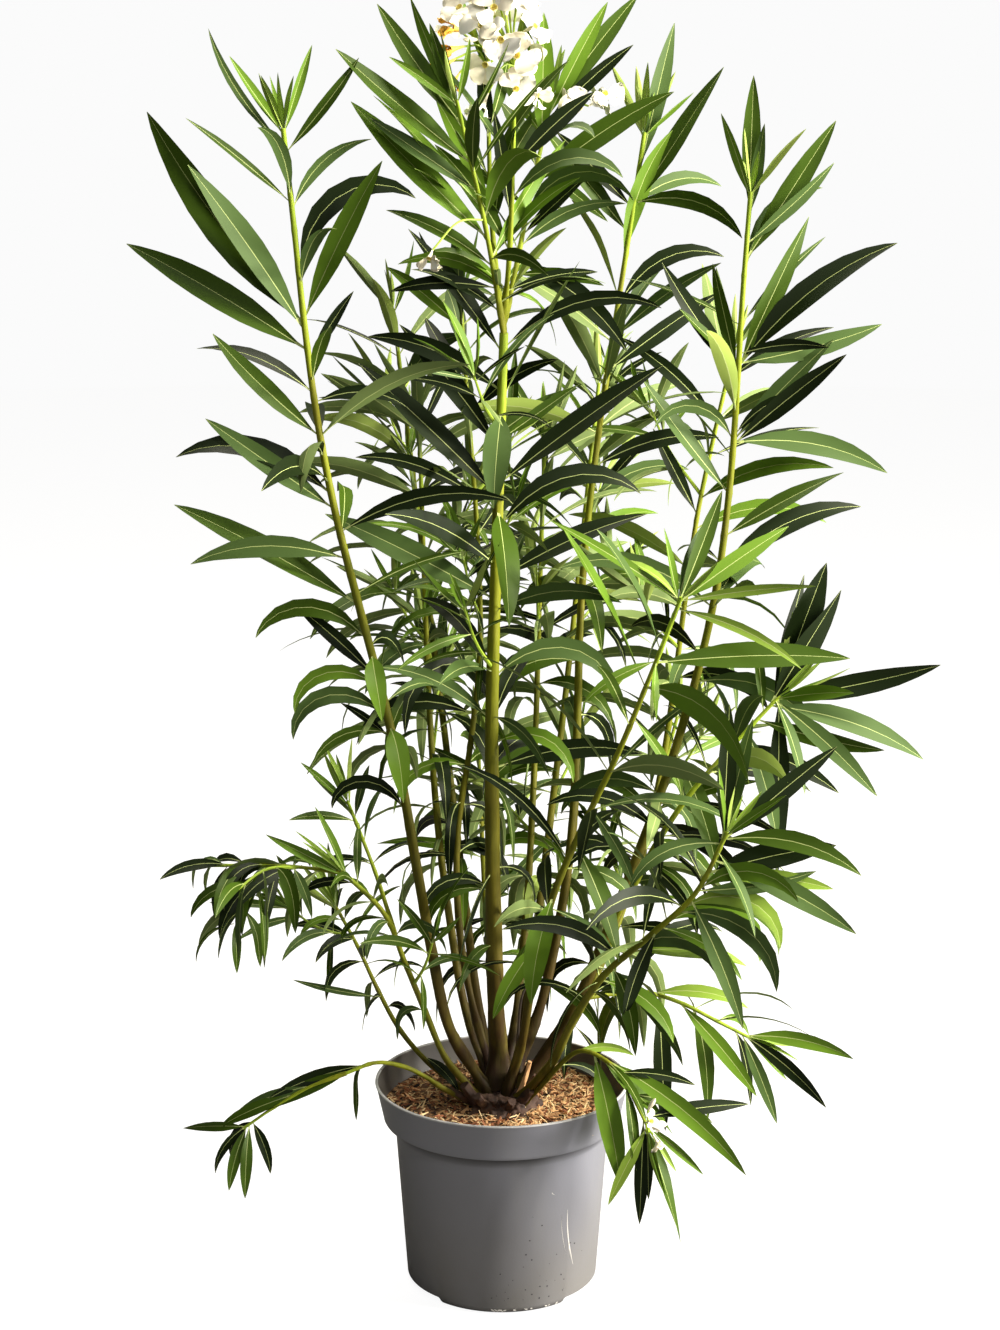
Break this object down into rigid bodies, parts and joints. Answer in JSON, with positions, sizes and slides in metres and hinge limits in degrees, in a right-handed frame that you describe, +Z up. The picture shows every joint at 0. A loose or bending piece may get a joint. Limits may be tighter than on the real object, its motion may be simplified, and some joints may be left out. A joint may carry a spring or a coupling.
{
  "type": "potted oleander",
  "caption": "Tall bushy oleander with long narrow leaves and cream blossom at its top, growing as a clump of upright stems in a round grey nursery pot.",
  "frame": {"origin": "the middle of the pot's flat underside, on the ground it stands on", "axes": "+Z up, +X to the plant's right as seen from its front, -Y to the front"},
  "size_m": [0.8335, 0.6649, 1.3926],
  "materials": {
    "pot": "satin",
    "compost": "matte",
    "bark": "matte",
    "shoot": "satin",
    "leaf": "satin",
    "blossom": "matte"
  },
  "bodies": {
    "root": {"bough_crown_back": "shoot", "bough_crown_front": "shoot", "bough_crown_left": "shoot", "bough_crown_right": "shoot", "bough_low_left": "shoot", "bough_low_left_up": "shoot", "bough_over_left": "shoot", "bough_right_low": "shoot", "bough_right_mid": "shoot", "compost": "compost", "leaves_back_left": "leaf", "leaves_back_low": "leaf", "leaves_back_right": "leaf", "leaves_back_side": "leaf", "leaves_crown_back": "leaf", "leaves_crown_front": "leaf", "leaves_crown_left": "leaf", "leaves_crown_right": "leaf", "leaves_inner": "leaf", "leaves_inner_left": "leaf", "leaves_inner_right": "leaf", "leaves_left_low": "leaf", "leaves_left_mid": "leaf", "leaves_left_top": "leaf", "leaves_low_left": "leaf", "leaves_low_left_back": "leaf", "leaves_low_left_up": "leaf", "leaves_over_left": "leaf", "leaves_over_right": "leaf", "leaves_right_arch_low": "leaf", "leaves_right_arch_top": "leaf", "leaves_right_back": "leaf", "leaves_right_far_mid": "leaf", "leaves_right_far_top": "leaf", "leaves_right_front": "leaf", "leaves_right_low": "leaf", "leaves_right_mid": "leaf", "leaves_right_tall_mid": "leaf", "leaves_right_tall_top": "leaf", "pot": "pot", "root_crown": "bark", "stem_back_left": "bark", "stem_back_low": "bark", "stem_back_right": "bark", "stem_back_side": "bark", "stem_centre": "bark", "stem_inner": "bark", "stem_inner_left": "bark", "stem_inner_right": "bark", "stem_left": "bark", "stem_low_left": "bark", "stem_low_left_back": "bark", "stem_over_left": "bark", "stem_over_right": "bark", "stem_right_arch": "bark", "stem_right_back": "bark", "stem_right_far": "bark", "stem_right_front": "bark", "stem_right_tall": "bark"}
  },
  "joints": []
}
